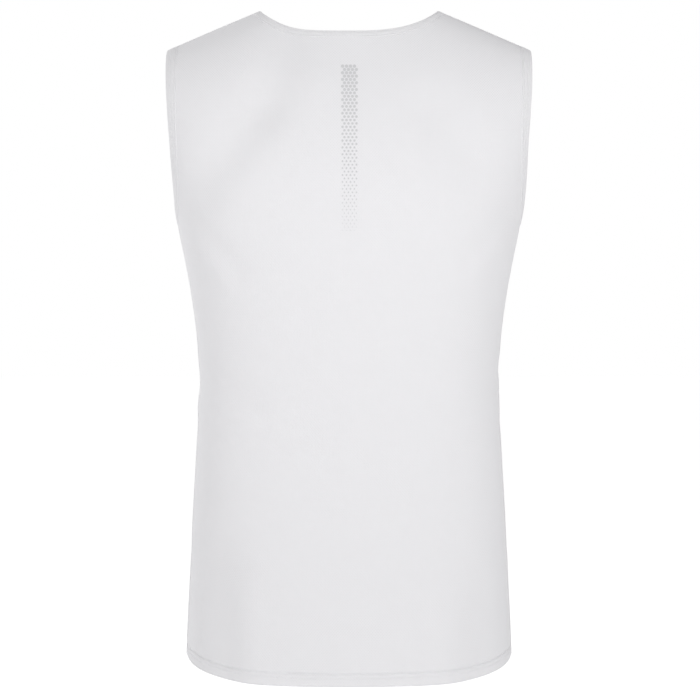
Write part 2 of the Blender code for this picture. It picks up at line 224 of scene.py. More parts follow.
def outwardOf(surface, place):
    # the unit cross product of the surface's two slopes, pointing off the body
    normal = -np.cross(*slopesOf(surface, place))
    return normal / np.linalg.norm(normal, axis=-1, keepdims=True)


def creaseLift(point):
    # each crease is a line whose lift falls off as a bell with the distance from it
    lift = np.zeros(point.shape[:-1])
    for row in creases["rows"]:
        crease = dict(zip(creases["columns"], row))
        start = np.array([crease["x1"], crease["z1"]])
        line = np.array([crease["x2"], crease["z2"]]) - start
        seen = point[..., [0, 2]] - start
        along = np.clip(seen @ line / (line @ line), 0, 1)
        away = np.linalg.norm(seen - along[..., None] * line, axis=-1)
        facing = -sides[crease["side"]] * point[..., 1] / creases["fade"]
        bell = np.exp(-(away / crease["breadth"]) ** 2)
        lift = lift + crease["lift"] * (0.5 + 0.5 * np.tanh(facing)) * bell
    return lift


def clothPoint(place):
    # the smooth form moved outwards by the lift of its creases
    point = smoothPoint(place)
    return point + creaseLift(point)[..., None] * outwardOf(smoothPoint, place)


def raised(place, lift):
    # the cloth's outer face moved out by a lift, or in where it is below 0
    lift = np.broadcast_to(lift, place.shape[:-1])
    return clothPoint(place) + lift[..., None] * outwardOf(clothPoint, place)


def wayAlong(points):
    # distance along a line of points from its first one
    steps = np.linalg.norm(np.diff(points, axis=0), axis=1)
    return np.concatenate([[0.0], np.cumsum(steps)])


def evenly(line, count):
    # places at even distances along a finely drawn line
    way = wayAlong(smoothPoint(line))
    stops = np.linspace(0, way[-1], count + 1)
    return np.stack([np.interp(stops, way, line[:, part]) for part in (0, 1)], axis=-1)


def hemHeight(turn, side):
    # lowest at the centre, rising as a high power of the turn's sine to the side seams
    rise = np.abs(np.sin(turn)) ** cut["hemFlatness"]
    return cut["hemSideHeight"] - cut["hemDrop"][side] * (1 - rise)


def armholeHalf(side, count, points=1200):
    # from the underarm up to the tip: the turn swings in as a root of the rise
    tipTurn = turnAt(np.array(cut["tipHalfWidth"]), np.array(0.0))
    rise = np.sin(np.linspace(0, quarter, points)) ** 2
    height = cut["underarmHeight"] + (shoulderLine(tipTurn) - cut["underarmHeight"]) * rise
    swing = np.sqrt(1 - (1 - rise) ** cut["armholeFlatness"])
    turn = quarter - (quarter - tipTurn) * swing - cut["scoop"][side] * np.sin(np.pi * rise)
    line = evenly(placeAt(turn, height, side), count)
    line[-1, 1] = 0
    return line


def neckHalf(side, count, points=1200):
    # from the centre out to the neck point: a flattened curve that turns up at its end
    share = np.sin(np.linspace(0, quarter, points))
    fall = (1 - share ** cut["neckFlatness"][side]) ** cut["neckPointTurn"]
    height = -cut["neckDrop"][side] * fall
    line = evenly(placeAt(turnAt(cut["neckHalfWidth"] * share, height), height, side), count)
    line[-1, 1] = 0
    return line


def movedIn(edge, width, stride=0.001, same=1e-9):
    # a closed edge moved over the cloth, square to itself, in even steps of a stride at most
    place = edge.copy()
    steps = max(1, math.ceil(width / stride))
    overShoulder = np.abs(edge[:, 1]) < same
    atSide = np.abs(np.abs(edge[:, 0]) - quarter) < same
    for _ in range(steps):
        point = smoothPoint(place)
        along = np.roll(point, -1, axis=0) - np.roll(point, 1, axis=0)
        across = -np.cross(along, outwardOf(smoothPoint, place))
        across *= width / steps / np.linalg.norm(across, axis=1, keepdims=True)
        both = np.stack(slopesOf(smoothPoint, place), axis=-1)
        turned = np.swapaxes(both, 1, 2)
        place = place + np.linalg.solve(turned @ both, turned @ across[..., None])[..., 0]
        place[atSide, 0] = edge[atSide, 0]
        place[overShoulder, 1] = 0
    return place


# how finely the shells are drawn
mesh = {
    "columns": 90,                  # of half a panel
    "lowerRows": 150,
    "yokeRows": 78,
    "strapRows": {"back": 18, "front": 36},
    "neckColumns": {"back": 48, "front": 36},
}
neckCount = {side: mesh["neckColumns"][side] + mesh["strapRows"][side] for side in sides}

armBack, armFront = armholeHalf("back", mesh["yokeRows"]), armholeHalf("front", mesh["yokeRows"])
armholeEdge = np.concatenate([armBack, armFront[-2:0:-1]])
neckBack, neckFront = neckHalf("back", neckCount["back"]), neckHalf("front", neckCount["front"])
mirror = np.array([-1.0, 1.0])
neckEdge = np.concatenate([neckBack[::-1], neckBack[1:] * mirror,
                           neckFront[-2::-1] * mirror, neckFront[1:-1]])


def lengthsOver(place, steps=40):
    # real lengths over the cloth: round the body from the centre line at one height, and up
    # the cloth from the waist at one turn
    turn, fall = place[..., 0], place[..., 1]
    share = np.linspace(0, 1, steps + 1).reshape((-1,) + (1,) * turn.ndim)
    sign = np.where(fall >= 0, 1.0, -1.0)
    turns = turn * share
    falls = sign * np.sqrt(np.maximum(shoulderLine(turns) - heightOf(place), 0))
    level = smoothPoint(np.stack([turns, falls], axis=-1))
    across = np.sign(turn) * np.linalg.norm(np.diff(level, axis=0), axis=-1).sum(axis=0)
    waist = sign * np.sqrt(shoulderLine(turn) - cut["waistHeight"])
    falls = waist + (fall - waist) * share
    upright = smoothPoint(np.stack([np.broadcast_to(turn, falls.shape), falls], axis=-1))
    above = np.sign(np.abs(waist) - np.abs(fall))
    up = above * np.linalg.norm(np.diff(upright, axis=0), axis=-1).sum(axis=0)
    return np.stack([across, up], axis=-1)


def rippleOf(way, away, kind):
    # two waves of unlike length, swelling and fading with a third, under a bell of the distance
    ripple = puckers[kind]
    first, second, third = (np.sin(2 * np.pi * way / wave + start)
                            for wave, start in zip(ripple["waves"], puckers["starts"]))
    (one, other), (even, swing) = puckers["shares"], puckers["fading"]
    wave = (one * first + other * second) * (even + swing * third)
    return ripple["lift"] * wave * np.exp(-(away / ripple["reach"]) ** 2)


def nearestOn(points, line):
    # distance of each point from the nearest of a line's points, and that point's way along it
    flat = points.reshape(-1, 3)
    square = (flat ** 2).sum(1)[:, None] + (line ** 2).sum(1)[None] - 2 * flat @ line.T
    nearest = square.argmin(axis=1)
    away = np.sqrt(np.maximum(square[np.arange(len(flat)), nearest], 0))
    return away.reshape(points.shape[:-1]), wayAlong(line)[nearest].reshape(points.shape[:-1])


def newObject(name, data):
    # an object in the scene for a mesh, lamp or camera
    thing = bpy.data.objects.new(name, data)
    bpy.context.collection.objects.link(thing)
    return thing


def newPiece(name, points, faces, material, uv=None):
    # a smooth-shaded mesh at the origin that rides with the garment
    data = bpy.data.meshes.new(name)
    data.from_pydata(points.reshape(-1, 3).tolist(), [], faces)
    if uv is not None:
        corners = np.empty(len(data.loops), dtype=np.int32)
        data.loops.foreach_get("vertex_index", corners)
        data.uv_layers.new(name="cloth").data.foreach_set("uv", uv.reshape(-1, 2)[corners].ravel())
    data.materials.append(material)
    data.shade_smooth()
    piece = newObject(name, data)
    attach(piece, "root")
    return piece


# materials

fibreFinish = {"specular": 0.25, "sheenRoughness": 0.45}


def newMaterial(name, colour, roughness, sheen):
    # a matt fibre finish, its even values on the shader's own sockets
    material = bpy.data.materials.new(name)
    material.use_nodes = True
    shader = material.node_tree.nodes["Principled BSDF"]
    shader.inputs["Base Color"].default_value = (*colour, 1)
    shader.inputs["Roughness"].default_value = roughness
    shader.inputs["Specular IOR Level"].default_value = fibreFinish["specular"]
    shader.inputs["Sheen Weight"].default_value = sheen
    shader.inputs["Sheen Roughness"].default_value = fibreFinish["sheenRoughness"]
    return material, shader


def addNode(material, kind, inputs=None, **settings):
    # a node with its settings, and its inputs as values or as links from other sockets
    node = material.node_tree.nodes.new(kind)
    for name, value in settings.items():
        setattr(node, name, value)
    for name, value in (inputs or {}).items():
        if isinstance(value, bpy.types.NodeSocket):
            material.node_tree.links.new(value, node.inputs[name])
        else:
            node.inputs[name].default_value = value
    return node


def shadeBetween(material, shader, look, share, colours, height):
    # a share's mix of two of the look's colours, and a bump that follows a height: each caller puts the
    # darker colour where the bump sinks, as painted shade
    one, other = (look[name] for name in colours)
    colour = addNode(material, "ShaderNodeMix", {"Factor": share, 6: (*one, 1), 7: (*other, 1)},
                     data_type="RGBA")
    strength, depth = look["bump"]
    bump = addNode(material, "ShaderNodeBump", {"Height": height, "Strength": strength, "Distance": depth})
    material.node_tree.links.new(colour.outputs[2], shader.inputs["Base Color"])
    material.node_tree.links.new(bump.outputs["Normal"], shader.inputs["Normal"])


meshKnitLook = {
    "yarn": (0.802, 0.797, 0.815),
    # the holes' darker colour is painted shade: the dim inside of the garment seen through each hole
    "hole": (0.57, 0.567, 0.59),
    "roughness": 0.86,
    "sheen": 0.08,
    "holeAcross": 0.0026,           # between two holes of a row
    "holeUp": 0.0030,               # between a row and the next but one
    "holeEdge": (0.17, 0.33),       # share of the lattice where a hole's edge starts and ends
    "holeDepth": (0.23, 0.30),      # how far a hole goes to its painted shade, tight knit and loose
    "patch": 26.0,                  # patches of looser and tighter knit in a metre
    "patchRange": (0.30, 0.70),     # their noise at the tightest and the loosest knit
    "fibre": 2600.0,                # fibre noise in a metre
    "fuzz": 0.14,                   # its height beside a hole's depth
    "bump": (0.6, 0.00009),         # share that shows, and metres
}


def makeMeshKnit():
    # holes on a staggered lattice: the cloth's lengths turned by 45 degrees give a square
    # lattice whose cells' middles are the holes
    look = meshKnitLook
    material, shader = newMaterial("meshKnit", look["yarn"], look["roughness"], look["sheen"])
    uv = addNode(material, "ShaderNodeTexCoord").outputs["UV"]
    scale = (math.sqrt(2) / look["holeAcross"], math.sqrt(2) / look["holeUp"], 1)
    lattice = addNode(material, "ShaderNodeMapping", {"Vector": uv, "Scale": scale,
                                                      "Rotation": (0, 0, math.radians(45))})
    cells = addNode(material, "ShaderNodeTexVoronoi", {"Vector": lattice.outputs["Vector"], "Scale": 1.0,
                                                       "Randomness": 0.0}, feature="F1")
    start, end = look["holeEdge"]
    hole = addNode(material, "ShaderNodeMapRange", {"Value": cells.outputs["Distance"], "From Min": start,
                                                    "From Max": end, "To Min": 1.0, "To Max": 0.0},
                   interpolation_type="SMOOTHSTEP")
    patches = addNode(material, "ShaderNodeTexNoise", {"Vector": uv, "Scale": look["patch"], "Detail": 3.0})
    (low, high), (tight, loose) = look["patchRange"], look["holeDepth"]
    depth = addNode(material, "ShaderNodeMapRange", {"Value": patches.outputs["Fac"], "From Min": low,
                                                     "From Max": high, "To Min": tight, "To Max": loose})
    share = addNode(material, "ShaderNodeMath", {0: hole.outputs["Result"], 1: depth.outputs["Result"]},
                    operation="MULTIPLY")
    fibre = addNode(material, "ShaderNodeTexNoise", {"Vector": uv, "Scale": look["fibre"], "Detail": 2.0})
    fuzz = addNode(material, "ShaderNodeMath", {0: fibre.outputs["Fac"], 1: look["fuzz"]},
                   operation="MULTIPLY")
    relief = addNode(material, "ShaderNodeMath", {0: fuzz.outputs[0], 1: hole.outputs["Result"]},
                     operation="SUBTRACT")
    # the holes get the darker colour, painted shade for the garment's dim inside seen through them, and
    # sink in the bump
    shadeBetween(material, shader, look, share.outputs[0], ("yarn", "hole"), relief.outputs[0])
    return material


bandKnitLook = {
    "crest": (0.815, 0.811, 0.827),
    # the darker of the two colours is painted shade in the grooves between ribs
    "valleyShade": (0.745, 0.741, 0.757),
    "roughness": 0.82,
    "sheen": 0.10,
    "rib": 0.00125,                 # one rib of the binding
    "bump": (0.6, 0.00012),
}


def makeBandKnit():
    # fine ribs across the band, waved by the stitches within each rib; the valleys between ribs are painted
    # darker as shade
    look = bandKnitLook
    material, shader = newMaterial("bandKnit", look["crest"], look["roughness"], look["sheen"])
    uv = addNode(material, "ShaderNodeTexCoord").outputs["UV"]
    ribs = addNode(material, "ShaderNodeTexWave", {"Vector": uv, "Scale": 2 * math.pi / look["rib"] / 20,
                                                   "Distortion": 0.6, "Detail": 1.0, "Detail Scale": 2.0},
                   wave_type="BANDS", bands_direction="X").outputs["Fac"]
    # the ribs' low parts get the darker colour: painted shade in the grooves
    shadeBetween(material, shader, look, ribs, ("valleyShade", "crest"), ribs)
    return material


threadLook = {
    "colour": (0.87, 0.865, 0.88),
    # the darker colour is painted shade in the hollows between strands
    "hollowShade": (0.80, 0.795, 0.81),
    "roughness": 0.55,
    "sheen": 0.05,
    "strands": 3200.0,              # strand noise in a metre
    "bump": (0.5, 0.0001),
}


def makeThread():
    # a twisted thread: fine noise on the garment's own coordinates gives its strands a bump, and paints
    # shade darker where that bump sinks
    look = threadLook
    material, shader = newMaterial("thread", look["colour"], look["roughness"], look["sheen"])
    place = addNode(material, "ShaderNodeTexCoord").outputs["Object"]
    strands = addNode(material, "ShaderNodeTexNoise", {"Vector": place, "Scale": look["strands"],
                                                       "Detail": 1.0}).outputs["Fac"]
    # low strand noise gives both the sunk bump and the darker colour: painted shade
    shadeBetween(material, shader, look, strands, ("hollowShade", "colour"), strands)
    return material


meshKnit = makeMeshKnit()
bandKnit = makeBandKnit()
thread = makeThread()
print("materials: mesh knit, band knit and thread")

# the two panels

panelCloth = {
    "thickness": 0.0008,
    "hemThickness": 0.0017,
    "tuck": 0.0015,                 # how far the panel's edge goes in under a binding
    "seamGap": 0.00004,             # half the join's width at the side and shoulder seams
    # rows of the turned hem, heights over its edge
    "hemRows": (0, .0003, .0008, .0015, .0026, .0042, .0056, .0066, .0073, .0080, .0087, .0096, .0106,
                .0113, .0120, .0127, .0135, .0145, .0157, .0172, .0190, .0210),
    "needleRows": (0.0080, 0.0120),
    "grooves": (0.00040, 0.00115),  # how far each row of stitches draws the hem in
    "grooveBreadth": 0.0009,
    "hemStep": (0.0006, 0.0007),    # where the hem's inner layer ends over its width, and how softly
    "foldRise": 0.0023,             # height over which the hem's fold rounds
    "foldClosing": 0.46,            # share of the thickness that each face gives up at the fold
    "swell": (0.0145, 0.0011, 0.00035),     # the cloth over the upper row: height, breadth and lift
}


def filledIn(bottom, top, left, right):
    # a four-sided block blended from its edges: sides plus ends less the corners' plane
    across = np.linspace(0, 1, len(bottom))[None, :, None]
    up = np.linspace(0, 1, len(left))[:, None, None]
    sideways = (1 - across) * left[:, None] + across * right[:, None]
    upright = (1 - up) * bottom[None] + up * top[None]
    low = (1 - across) * bottom[0] + across * bottom[-1]
    high = (1 - across) * top[0] + across * top[-1]
    return sideways + upright - (1 - up) * low - up * high


def between(start, end, count):
    # places at even shares of the straight way from one to another
    part = np.linspace(0, 1, count + 1)[:, None]
    return (1 - part) * start + part * end


def halfPanel(side, armSeam, neckSeam):
    # rows from the hem up and columns from the centre out, in three blocks: below the
    # underarm, below the neck opening and beside it
    columns, neckColumns, strapRows = mesh["columns"], mesh["neckColumns"][side], mesh["strapRows"][side]
    turn = np.linspace(0, quarter, columns + 1)
    hem = hemHeight(turn, side)
    hemRows = np.array(panelCloth["hemRows"])[:, None] + hem
    underarm = smoothPoint(armSeam[0])[2]
    climb = np.linspace(0, 1, mesh["lowerRows"] + 1)[1:, None]
    height = np.vstack([hemRows, hemRows[-1] + (underarm - hemRows[-1]) * climb])
    lower = placeAt(np.broadcast_to(turn, height.shape), height, side)
    middleRows = mesh["yokeRows"] - strapRows
    sill = between(neckSeam[neckColumns], armSeam[middleRows], columns - neckColumns)
    top = np.concatenate([neckSeam[:neckColumns], sill])
    centre = between(lower[-1, 0], neckSeam[0], middleRows)
    middle = filledIn(lower[-1], top, centre, armSeam[:middleRows + 1])
    ridge = between(neckSeam[-1], armSeam[-1], columns - neckColumns)
    strap = filledIn(sill, ridge, neckSeam[neckColumns:], armSeam[middleRows:])
    hole = np.repeat(strap[:, :1], neckColumns, axis=1)
    places = np.concatenate([lower, middle[1:], np.concatenate([hole, strap], axis=1)[1:]])
    cloth = np.ones((len(places) - 1, columns), dtype=bool)
    cloth[-strapRows:, :neckColumns] = False
    return places, cloth


def keptApart(places, side):
    # the panel stops just short of the side and shoulder seam lines
    byTurn, byFall = slopesOf(smoothPoint, places)
    sideStop = quarter - panelCloth["seamGap"] / np.linalg.norm(byTurn, axis=-1)
    topStop = panelCloth["seamGap"] / np.linalg.norm(byFall, axis=-1)
    fall = sides[side] * np.maximum(np.abs(places[..., 1]), topStop)
    return np.stack([np.minimum(places[..., 0], sideStop), fall], axis=-1)


def panelLift(places, side, armLine, neckLine):
    # how far ripples and stitching move the cloth: puckers along every seam, and a groove
    # under each row of hem stitches
    turn = places[..., 0]
    point = smoothPoint(places)
    overHem = heightOf(places) - hemHeight(turn, side)
    across, up = np.moveaxis(lengthsOver(places), -1, 0)
    top = panelCloth["needleRows"][1]
    lift = rippleOf(across + puckers["hemStart"][side], np.abs(overHem - top), "hem")
    fromSide = (quarter - np.abs(turn)) * puckers["sideRadius"]
    lift = lift + rippleOf(up, fromSide, "side") * (point[..., 2] < cut["underarmHeight"])
    for line, kind in ((armLine, "armhole"), (armLine * (-1, 1, 1), "armhole"), (neckLine, "neck")):
        away, way = nearestOn(point, line)
        lift = lift + rippleOf(way, away, kind)
    for row, groove in zip(panelCloth["needleRows"], panelCloth["grooves"]):
        lift = lift - groove * np.exp(-((overHem - row) / panelCloth["grooveBreadth"]) ** 2)
    height, breadth, swell = panelCloth["swell"]
    lift = lift + swell * np.exp(-((overHem - height) / breadth) ** 2)
    return lift, overHem


def gridWall(outer, inner, cloth):
    # a closed wall: the outer grid's cells, the inner grid's the other way round, and a rim
    # along every edge that only one cell has
    index = np.arange(outer.shape[0] * outer.shape[1]).reshape(outer.shape[:2])
    front = np.stack([index[:-1, :-1], index[:-1, 1:], index[1:, 1:], index[1:, :-1]], axis=-1)[cloth]
    start, end = front.ravel(), np.roll(front, -1, axis=1).ravel()
    paired = np.isin(start * index.size + end, end * index.size + start)
    start, end = start[~paired], end[~paired]
    rim = np.stack([end, start, start + index.size, end + index.size], axis=-1)
    faces = np.concatenate([front, front[:, ::-1] + index.size, rim])
    points = np.concatenate([outer.reshape(-1, 3), inner.reshape(-1, 3)])
    used, faces = np.unique(faces, return_inverse=True)
    return points[used], faces.reshape(-1, 4).tolist(), used % index.size


def makePanel(name, node, side, armSeam, neckSeam, armLine, neckLine):
    # the half panel and its mirror, its outer face lifted and the inner one a thickness further in
    half, cloth = halfPanel(side, armSeam, neckSeam)
    half = keptApart(half, side)
    places = np.concatenate([half[:, :0:-1] * mirror, half], axis=1)
    cloth = np.concatenate([cloth[:, ::-1], cloth], axis=1)
    lift, overHem = panelLift(places, side, armLine, neckLine)
    # the hem is doubled up to its edge, and both faces round together at the fold
    past, softness = panelCloth["hemStep"]
    step = 0.5 - 0.5 * np.tanh((overHem - cut["hemWidth"] - past) / softness)
    thick = panelCloth["thickness"] + (panelCloth["hemThickness"] - panelCloth["thickness"]) * step
    nearFold = 1 - np.clip(overHem / panelCloth["foldRise"], 0, 1)
    closing = panelCloth["foldClosing"] * thick * nearFold ** 2
    outer = raised(places, lift - closing)
    inner = raised(places, lift - thick + closing)
    uv = lengthsOver(places)
    if side == "front":
        outer, inner, cloth, uv = outer[:, ::-1], inner[:, ::-1], cloth[:, ::-1], uv[:, ::-1]
    points, faces, source = gridWall(outer, inner, cloth)
    piece = newPiece(name, points, faces, meshKnit, uv.reshape(-1, 2)[source])
    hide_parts(node)
    return piece


armSeam = movedIn(armholeEdge, cut["armholeBand"] - panelCloth["tuck"])
neckSeam = movedIn(neckEdge, cut["neckBand"] - panelCloth["tuck"])
armLine = smoothPoint(movedIn(armholeEdge, cut["armholeBand"]))
neckLine = smoothPoint(movedIn(neckEdge, cut["neckBand"]))
backArm = armSeam[:mesh["yokeRows"] + 1]
frontArm = np.roll(armSeam, -1, axis=0)[::-1][:mesh["yokeRows"] + 1]
frontArm[0, 1] = -frontArm[0, 1]
backNeck = neckSeam[neckCount["back"]::-1]
frontNeck = np.roll(neckSeam, -1, axis=0)[-1 - neckCount["front"]:]

backCloth = makePanel("back_cloth", "back_panel", "back", backArm, backNeck, armLine, neckLine)
frontCloth = makePanel("front_cloth", "front_panel", "front", frontArm, frontNeck, armLine, neckLine)
print("panels: back and front")

# the bindings

binding = {
    "outerLift": 0.00052,           # the outer layer lies on the panel
    "innerLift": -0.00150,
    "puff": 0.00022,                # how far it swells between its rows of stitches
    "groove": 0.00020,
    "grooveBreadth": 0.0007,
    "corner": 0.0004,               # size of the turned corner at its seam
    "ripple": 0.7,                  # share of the panel's puckers that it follows
    "points": {"outer": 22, "fold": 9, "inner": 7},
    "rows": {"neck": (0.0020, 0.0062), "armhole": (0.0052, 0.0094)},    # stitches, from the open edge
}


def bandSection(width, rows):
    # one folded strip, from its seam over the open edge and back inside: the outer layer
    # swells and is drawn in at its stitches, and the fold is a half circle
    half = (binding["outerLift"] - binding["innerLift"]) / 2
    middle = (binding["outerLift"] + binding["innerLift"]) / 2
    corner, points = binding["corner"], binding["points"]
    across = np.linspace(width - corner, half, points["outer"])
    swell = binding["puff"] * np.sin(np.pi * across / width) ** 2
    for row in rows:
        swell = swell - binding["groove"] * np.exp(-((across - row) / binding["grooveBreadth"]) ** 2)
    outer = np.stack([across, binding["outerLift"] + swell], axis=-1)
    seam = np.array([(width, -corner), (width, corner / 2), (width - corner / 4, corner)])
    bend = np.linspace(0, np.pi, points["fold"])[1:-1]
    fold = np.stack([half - half * np.sin(bend), middle + half * np.cos(bend)], axis=-1)
    back = np.linspace(half, width - corner / 2, points["inner"])
    inner = np.stack([back, np.full(len(back), binding["innerLift"])], axis=-1)
    return np.concatenate([seam, outer, fold, inner, [(width, binding["innerLift"] + corner / 2)]])


def makeBand(name, node, edge, width, kind, flip):
    # the section carried round the edge, its loops stepped over the cloth
    section = bandSection(width, binding["rows"][kind])
    places = np.stack([movedIn(edge, across) * (flip, 1) for across, _ in section])
    way = np.append(wayAlong(smoothPoint(edge)), 0)[:len(edge)]
    ripple = binding["ripple"] * rippleOf(way[None], np.abs(section[:, :1] - width), kind)
    lifts = section[:, 1:] + ripple
    loops = np.stack([raised(place, lift) for place, lift in zip(places, lifts)])
    uv = np.stack(np.broadcast_arrays(way[None], section[:, :1]), axis=-1)
    if flip < 0:
        loops, uv = loops[::-1], uv[::-1]
    index = np.arange(loops.shape[0] * loops.shape[1]).reshape(loops.shape[:2])
    beside = np.roll(index, -1, axis=0)
    faces = np.stack([index, beside, np.roll(beside, -1, axis=1), np.roll(index, -1, axis=1)], axis=-1)
    piece = newPiece(name, loops, faces.reshape(-1, 4).tolist(), bandKnit, uv)
    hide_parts(node)
    return piece


neckBand = makeBand("neck_band", "neck_binding", neckEdge, cut["neckBand"], "neck", 1)
armBandRight = makeBand("armhole_band_right", "armhole_binding_right", armholeEdge, cut["armholeBand"],
                        "armhole", 1)
armBandLeft = makeBand("armhole_band_left", "armhole_binding_left", armholeEdge, cut["armholeBand"],
                       "armhole", -1)
print("bindings: neck and both armholes")

# the sewing

sewing = {
    "thread": 0.00021,              # radius
    "bow": 0.00020,                 # how far a stitch stands up in its middle
    "dip": 0.00022,                 # how far its ends go down into the cloth
    "pitch": 0.0027,
    "stitch": 0.78,                 # share of the pitch that shows
    "taper": (0.24, 0.45),          # share of a stitch that tapers at each end, and its end's size
    "proud": 0.0001,                # how far a row lies off the cloth
    "flatHalf": 0.0026,             # half the width between a flat seam's outer rows
    "flatLifts": (0.00018, 0.00045, 0.00018),   # of its rows: one side, the middle, the other side
    "ridgeHalf": 0.0031,            # half the width of the joined edges under its threads
    "ridge": (0.00042, -0.00115),   # their top and underside at the middle
    "ridgeSides": (-0.0002, -0.0006),   # and at their sides
    "overHem": 0.0006,              # where a side seam starts over the hem's edge
    "flatPitch": 0.0022,
    "rounds": 5,                    # sides of a thread
    "points": {"hem": 500, "side": 320, "shoulder": 90, "ridge": 9},    # along each line
}


def makeStitches(name, starts, ends, outward):
    # every stitch is a bowed bead of four rings between its two needle holes
    along = ends - starts
    along = along / np.linalg.norm(along, axis=-1, keepdims=True)
    beside = np.cross(along, outward)
    beside = beside / np.linalg.norm(beside, axis=-1, keepdims=True)
    above = np.cross(beside, along)
    taper, endSize = sewing["taper"]
    part = np.array([0, taper, 1 - taper, 1]).reshape(1, -1, 1, 1)
    size = sewing["thread"] * np.array([endSize, 1, 1, endSize]).reshape(1, -1, 1, 1)
    bow = np.array([-sewing["dip"], sewing["bow"], sewing["bow"], -sewing["dip"]]).reshape(1, -1, 1, 1)
    angle = np.linspace(0, 2 * np.pi, sewing["rounds"], endpoint=False).reshape(1, 1, -1, 1)
    centre = starts[:, None, None] * (1 - part) + ends[:, None, None] * part + above[:, None, None] * bow
    points = centre + size * (np.cos(angle) * beside[:, None, None] + np.sin(angle) * above[:, None, None])
    count, rings, rounds = points.shape[:3]
    index = np.arange(count * rings * rounds).reshape(count, rings, rounds)
    around = np.roll(index, -1, axis=2)
    tube = np.stack([index[:, :-1], around[:, :-1], around[:, 1:], index[:, 1:]], axis=-1).reshape(-1, 4)
    caps = np.concatenate([index[:, 0, ::-1], index[:, -1]])
    return newPiece(name, points, tube.tolist() + caps.tolist(), thread)


def readAt(stops, way, rows):
    # rows of three numbers, read between their places along a way
    return np.stack([np.interp(stops, way, rows[:, part]) for part in range(3)], axis=-1)


def spaced(points, outward, pitch, closed):
    # stitch ends at an even pitch along a line of points
    if closed:
        points, outward = (np.concatenate([row, row[:1]]) for row in (points, outward))
    way = wayAlong(points)
    count = max(2, round(way[-1] / pitch))
    starts = np.arange(count) * way[-1] / count
    ends = starts + way[-1] / count * sewing["stitch"]
    middles = (starts + ends) / 2
    return readAt(starts, way, points), readAt(ends, way, points), readAt(middles, way, outward)


def edgeRow(edge, across, lift, flip):
    # a row of stitches that follows an opening's edge; inside the garment the lift is below 0
    place = movedIn(edge, across) * (flip, 1)
    outward = outwardOf(clothPoint, place) * (1 if lift > 0 else -1)
    return spaced(raised(place, lift), outward, sewing["pitch"], True)


def hemRow(side, over, lift, facing):
    # a row of stitches at one height over the hem's edge; facing is 1 outside and -1 inside
    turn = np.linspace(-quarter, quarter, sewing["points"]["hem"])
    place = placeAt(turn, hemHeight(turn, side) + over, side)
    outward = facing * outwardOf(clothPoint, place)
    return spaced(raised(place, lift), outward, sewing["pitch"], False)


def gathered(rows):
    # the starts, ends and outward ways of several rows, each joined into one
    return [np.concatenate(part) for part in zip(*rows)]


def zigzag(one, other):
    # thread that crosses from each end on one line to the next on the other and back
    starts = np.concatenate([one[:-1], other[:-1]])
    ends = np.concatenate([other[:-1], one[1:]])
    return starts, ends


def flatSeam(lines, outward):
    # the rows of a flat seam: a line of stitches down each side and the middle, and thread
    # crossing over between the two sides
    left, middle, right = lines
    rows = [spaced(line, outward, sewing["flatPitch"], False) for line in (left, middle, right)]
    count = len(rows[0][0])
    stops = np.linspace(0, 1, count + 1)
    share = np.linspace(0, 1, len(left))
    starts, ends = zigzag(readAt(stops, share, left), readAt(stops, share, right))
    normals = readAt(stops, share, outward)[:-1]
    rows.append((starts, ends, np.concatenate([normals, normals])))
    return gathered(rows)


def makeRidge(name, line, across):
    # the joined edges under a flat seam: a strip whose face swells to its middle, with its
    # underside just inside the garment
    part = np.linspace(-1, 1, sewing["points"]["ridge"])
    top, under = sewing["ridge"]
    sideTop, sideUnder = sewing["ridgeSides"]
    swell = 1 - part ** 4
    shares = np.concatenate([part, part[::-1]])
    face = sideTop + (top - sideTop) * swell
    underside = sideUnder + (under - sideUnder) * swell[::-1]
    lifts = np.concatenate([face, underside])
    rows = [raised(across(share * sewing["ridgeHalf"]), lift) for share, lift in zip(shares, lifts)]
    points = np.stack(rows, axis=1)
    way = wayAlong(line)[:, None]
    uv = np.stack(np.broadcast_arrays(way, shares * sewing["ridgeHalf"]), axis=-1)
    index = np.arange(points.shape[0] * points.shape[1]).reshape(points.shape[:2])
    beside = np.roll(index, -1, axis=1)
    faces = np.stack([index[:-1], index[1:], beside[1:], beside[:-1]], axis=-1).reshape(-1, 4)
    ends = [index[0].tolist(), index[-1, ::-1].tolist()]
    return newPiece(name, points, faces.tolist() + ends, bandKnit, uv)


def makeFlatSeam(name, line, across):
    # the ridge, and its threads over both edges and the middle
    ridge = makeRidge(name + "_ridge", line, across)
    lines = [raised(across(part * sewing["flatHalf"]), lift)
             for part, lift in zip((1, 0, -1), sewing["flatLifts"])]
    threads = makeStitches(name, *flatSeam(lines, outwardOf(smoothPoint, across(0.0))))
    return [ridge, threads]


def sideSeam(hand, flip):
    # both panels' cloth either side of the side seam, from the hem up to the binding
    low = cut["hemSideHeight"] + sewing["overHem"]
    high = smoothPoint(movedIn(armholeEdge, cut["armholeBand"])[0])[2]
    height = np.linspace(low, high, sewing["points"]["side"])
    seam = placeAt(np.full(len(height), quarter), height, "back")
    slope = np.linalg.norm(slopesOf(smoothPoint, seam)[0], axis=-1)

    def across(away):
        side = "back" if away >= 0 else "front"
        return placeAt(quarter - abs(away) / slope, height, side) * (flip, 1)
    return makeFlatSeam("side_seam_" + hand, smoothPoint(seam), across)


def shoulderSeam(hand, flip):
    # both panels' cloth either side of the shoulder line, from the neck's binding to the armhole's
    start = movedIn(neckEdge, cut["neckBand"])[0, 0]
    tip = np.argmin(np.abs(armholeEdge[:, 1]))
    end = movedIn(armholeEdge, cut["armholeBand"])[tip, 0]
    turn = np.linspace(start, end, sewing["points"]["shoulder"])
    seam = np.stack([turn, np.zeros(len(turn))], axis=-1)
    slope = np.linalg.norm(slopesOf(smoothPoint, seam)[1], axis=-1)

    def across(away):
        return np.stack([turn, away / slope], axis=-1) * (flip, 1)
    return makeFlatSeam("shoulder_seam_" + hand, smoothPoint(seam), across)


